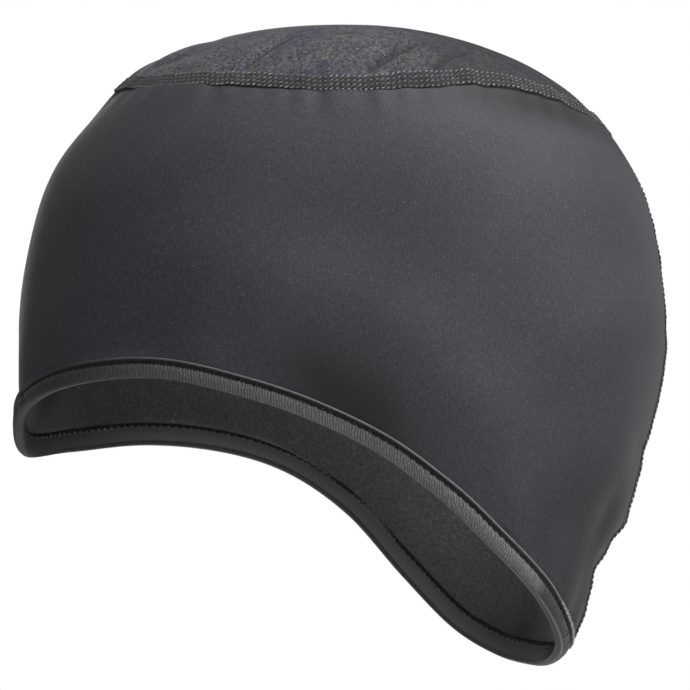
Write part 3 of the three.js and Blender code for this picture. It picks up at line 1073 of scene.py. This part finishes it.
# The tape's section. Outside: level above the fold, how far it stands off the cloth, and its
# share of the ribs. The first rows are the cord, the groove and then the body.
tape_outside = [
    (0.00590, 0.0000, 0.0), (0.00612, 0.0003, 0.0), (0.00620, 0.0007, 0.0), (0.00610, 0.00098, 0.0),
    (0.00590, 0.0010, 0.0), (0.00574, 0.0007, 0.0), (0.00566, 0.0003, 0.0), (0.0052, 0.0001, 0.0),
    (0.0046, 0.00015, 0.1), (0.0042, 0.0005, 0.7), (0.0037, 0.0009, 1.0), (0.0030, 0.00105, 1.0),
    (0.0021, 0.00108, 1.0), (0.0013, 0.0010, 1.0), (0.0006, 0.00074, 0.8), (0.0001, 0.0003, 0.4),
]
# Inside: level above the fold, and how far it stands off the cloth. It has no ribs.
tape_inside = [
    (0.0002, 0.0004), (0.0009, 0.0008), (0.0020, 0.0010), (0.0036, 0.0010), (0.0050, 0.0009),
    (0.0060, 0.0004), (0.0066, 0.0003), (0.0070, 0.0006), (0.0073, 0.0002),
]


def rim_tape():
    """The folded tape: down its outside from the cord, round the fold, and up the inside."""
    steps_per_rib = 5
    turn = np.linspace(-180, 180, 2000)
    steps = np.linalg.norm(np.diff(cloth_point(turn, rim_drop(turn), 0), axis=0), axis=-1)
    length_round = steps.sum()
    rib_count = int(round(length_round / rib_pitch))
    count = rib_count * steps_per_rib
    reached = np.concatenate([[0], np.cumsum(steps)])
    station = np.interp(np.arange(count) / count * length_round, reached, turn)
    rib = 0.5 + 0.5 * np.cos(2 * np.pi * np.arange(count) / steps_per_rib)
    # Level, depth, rib height, and level on the map. The last two rows lie between the two sides.
    section = [(level, -over, -rib_height * ribbed, level) for level, over, ribbed in tape_outside]
    section += [(level, cloth_wall + over, 0, -level) for level, over in tape_inside]
    section += [(0.0012, cloth_wall - 0.0002, 0, -0.0070), (0.0012, 0.0002, 0, 0.0058)]
    columns = []
    for level, depth, ribbed, _ in section:
        drop = drop_above_rim(station, level)
        columns.append(cloth_point(station, drop, depth + ribbed * rib))
    levels = np.array([row[3] for row in section] + [section[0][3]])
    along = np.arange(count + 1) * rib_pitch / steps_per_rib

    def uv_of(loop, place):
        return along[loop], levels[place]

    finish = ribbed_elastic(rib_count * rib_pitch)
    tape = loft("rim_tape", np.stack(columns, axis=1), [finish], round_loops=True, uv_of=uv_of)
    # Painted shade on the tape: strong towards the forehead, and on its inside at the nape.
    forehead = 1.2 * near(station, 6, 42)
    nape_inside = 0.7 * near(abs(station), 152, 34)
    on_inside = np.arange(len(section)) >= len(tape_outside)
    set_shade(tape.data, np.clip(forehead[:, None] + nape_inside[:, None] * on_inside, 0, 0.95))
    return tape


rim_binding = rim_tape()
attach(rim_binding, "root")
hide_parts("rim_binding")


def zigzag_tree():
    """Geometry Nodes that swing a round thread from side to side along a guide line."""
    tree, given = guided_tree("zigzag_along_guide", "Thread", {
        "Pitch": ("Float", zigzag_pitch),
        "Swing": ("Float", 0.0005),
        "Thread Radius": ("Float", 0.0002),
    })
    quarter = math_node("MULTIPLY", given["Pitch"], 0.25)
    points, out, tangent = along_guide(tree, given["Guide"], quarter)
    phase = math_node("MULTIPLY", new_node(tree, "GeometryNodeInputIndex"), np.pi / 2)
    swing = math_node("MULTIPLY", math_node("SINE", phase), given["Swing"])
    across = new_node(tree, "ShaderNodeVectorMath", {0: out, 1: tangent}, operation="CROSS_PRODUCT")
    offset = new_node(tree, "ShaderNodeVectorMath", {0: across, "Scale": swing}, operation="SCALE")
    path = new_node(tree, "GeometryNodeSetPosition", {0: points, "Offset": offset})
    section = new_node(tree, "GeometryNodeCurvePrimitiveCircle",
                       {"Resolution": 6, "Radius": given["Thread Radius"]})
    thread = new_node(tree, "GeometryNodeCurveToMesh", {"Curve": path, "Profile Curve": section})
    return hand_out(tree, thread, given["Finish"])


zigzag_along_guide = zigzag_tree()
zigzag_finish = dark_thread()
lashing_thread = seam_thread("lashing_thread", (0.18, 0.18, 0.184, 1), (0.52, 0.52, 0.53, 1))


def rim_guide(height, depth):
    azimuth = np.linspace(-180, 180, 1500, endpoint=False)
    return guide_mesh(azimuth, drop_above_rim(azimuth, height), depth)


def rim_thread(height, depth):
    """The dark zigzag in its groove."""
    return grown(zigzag_along_guide, rim_guide(height, depth), Pitch=zigzag_pitch, Swing=0.00045,
                 Thread_Radius=0.00022, Finish=zigzag_finish)


def rim_bites(height, depth, length, finish):
    """The small bites where the zigzag's needle goes through."""
    return grown(stitches_along_guide, rim_guide(height, depth), Pitch=zigzag_pitch, Length=length,
                 Width=length / 2, Height=0.0005, Lean=1.2, Unevenness=0.35, Seed=31, Finish=finish)


def joint_stitches():
    """Pale threads lashed over the cord, from the tape's joint to the middle of the nape."""
    azimuth = np.linspace(tape_joint_azimuth + 2, 179, 200)
    guide = guide_mesh(azimuth, drop_above_rim(azimuth, 0.0058), -0.0010, closed=False)
    return grown(stitches_along_guide, guide, Pitch=0.0011, Length=0.0015, Width=0.00036,
                 Height=0.0004, Lean=1.1, Unevenness=0.4, Seed=41, Finish=lashing_thread)


rim_stitches_outside = joined("rim_stitches_outside", [
    rim_thread(groove_middle, -0.0004),
    rim_bites(0.0040, -0.0004, 0.0008, cover_thread),
    joint_stitches(),
])
rim_stitches_inside = joined("rim_stitches_inside", [
    rim_thread(0.0064, cloth_wall + 0.0006),
    rim_bites(0.0060, cloth_wall + 0.0006, 0.0012, middle_thread),
])
for stitches in (rim_stitches_outside, rim_stitches_inside):
    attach(stitches, "root")


# Studio
# A plain pale floor well below the cap, white all round, and soft lights.

def for_camera(tree, unseen, seen):
    """One value for what the camera sees, and another for the light that reaches the cap."""
    looks = new_node(tree, "ShaderNodeLightPath", output="Is Camera Ray")
    return between(looks, 0, 1, unseen, seen)


def pale_floor():
    """A floor that looks pale and sends little light up at the cap."""
    half, level = 4, -0.75
    material = bpy.data.materials.new("pale_floor")
    material.use_nodes = True
    shader = material.node_tree.nodes["Principled BSDF"]
    shader.inputs["Base Color"].default_value = (0.5, 0.5, 0.5, 1)
    shader.inputs["Roughness"].default_value = 0.9
    shader.inputs["Emission Color"].default_value = (1, 1, 1, 1)
    plug(for_camera(material.node_tree, 0.0, 0.62), shader.inputs["Emission Strength"])
    mesh = bpy.data.meshes.new("floor")
    corners = [(x * half, y * half, level) for x, y in ((-1, -1), (1, -1), (1, 1), (-1, 1))]
    mesh.from_pydata(corners, [], [(0, 1, 2, 3)])
    mesh.materials.append(material)
    return add_object("floor", mesh)


pale_floor()


def add_light(name, kind, power, azimuth, elevation, distance, target):
    """A light that the camera doesn't see, facing the target."""
    light = bpy.data.lights.new(name, kind)
    light.energy = power
    obj = bpy.data.objects.new(name, light)
    obj.visible_camera = False
    place_facing(obj, azimuth, elevation, distance, target)
    return light


# Round soft lights, all facing the middle of the cap from 2 m away: azimuth, elevation, width and
# watts. The key light stands high behind the cap's left side.
soft_lights = {
    "key_light": (148, 42, 1.2, 27),
    "overhead_light": (118, 68, 1.2, 28),
    "side_light": (150, 14, 1.0, 9),
    "front_fill": (15, 0, 1.2, 2.5),
    "right_fill": (-85, 12, 1.2, 12),
}
for name, (azimuth, elevation, width, power) in soft_lights.items():
    disk = add_light(name, "AREA", power, azimuth, elevation, distance=2.0, target=(0, 0, -0.09))
    disk.shape = "DISK"
    disk.size = width

# A narrow light from below reaches the fleece inside the back of the cap, and not the forehead.
inside_light = add_light("inside_light", "SPOT", power=58, azimuth=76, elevation=-22, distance=1.3,
                         target=(0, 0.035, -0.150))
inside_light.spot_size = np.radians(11)
inside_light.spot_blend = 1
inside_light.shadow_soft_size = 0.15


def white_surroundings():
    """A world that looks white behind the cap and lights it only a little."""
    world = bpy.data.worlds.new("studio")
    world.use_nodes = True
    background = world.node_tree.nodes["Background"]
    background.inputs["Color"].default_value = (1, 1, 1, 1)
    plug(for_camera(world.node_tree, 0.03, 1.0), background.inputs["Strength"])
    bpy.context.scene.world = world


white_surroundings()
bpy.context.scene.view_settings.view_transform = "Standard"
